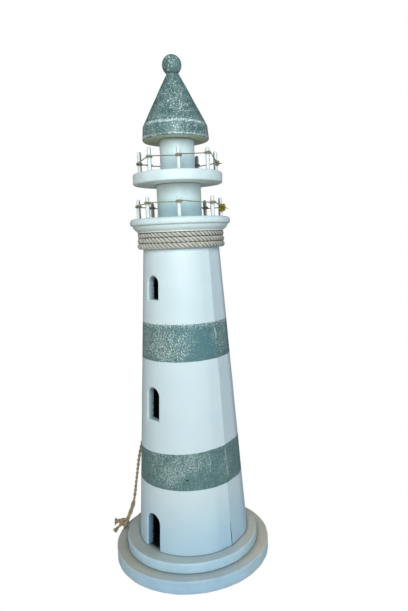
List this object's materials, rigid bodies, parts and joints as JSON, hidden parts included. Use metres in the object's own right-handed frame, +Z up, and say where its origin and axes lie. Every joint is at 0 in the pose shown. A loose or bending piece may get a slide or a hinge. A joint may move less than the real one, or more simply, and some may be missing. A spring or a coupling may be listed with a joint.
{
  "type": "painted wooden model lighthouse",
  "caption": "Model lighthouse ornament: hollow tapered tower with arched door and windows on a stepped round base, two galleries with peg and twine railings, and a conical roof.",
  "frame": {"origin": "middle of the base's underside, at the level that it stands on", "axes": "+Z up the tower's axis; the door and both windows face -Y; the tower's seams lie at +X and -X"},
  "size_m": [0.156, 0.156, 0.4988],
  "materials": {
    "base_paint": "satin off-white paint",
    "tower_paint": "satin white paint with two sage green bands",
    "white_paint": "satin white paint",
    "peg_paint": "satin white paint",
    "roof_paint": "worn sage green paint",
    "rope": "laid cotton rope",
    "twine": "jute twine"
  },
  "bodies": {
    "root": {"base_plinth": "base_paint", "base_step": "base_paint", "finial": "roof_paint", "hanging_twine": "twine", "hanging_twine_knot": "twine", "lower_gallery": "white_paint", "lower_lantern": "white_paint", "lower_peg_1": "peg_paint", "lower_peg_2": "peg_paint", "lower_peg_3": "peg_paint", "lower_peg_4": "peg_paint", "lower_peg_5": "peg_paint", "lower_peg_6": "peg_paint", "lower_peg_7": "peg_paint", "lower_peg_8": "peg_paint", "lower_twine": "twine", "neck_rope_turn_1": "rope", "neck_rope_turn_2": "rope", "neck_rope_turn_3": "rope", "roof": "roof_paint", "tower_back_half": "tower_paint", "tower_front_half": "tower_paint", "upper_gallery": "white_paint", "upper_lantern": "white_paint", "upper_peg_1": "peg_paint", "upper_peg_2": "peg_paint", "upper_peg_3": "peg_paint", "upper_peg_4": "peg_paint", "upper_peg_5": "peg_paint", "upper_peg_6": "peg_paint", "upper_peg_7": "peg_paint", "upper_peg_8": "peg_paint", "upper_twine": "twine"}
  },
  "joints": []
}
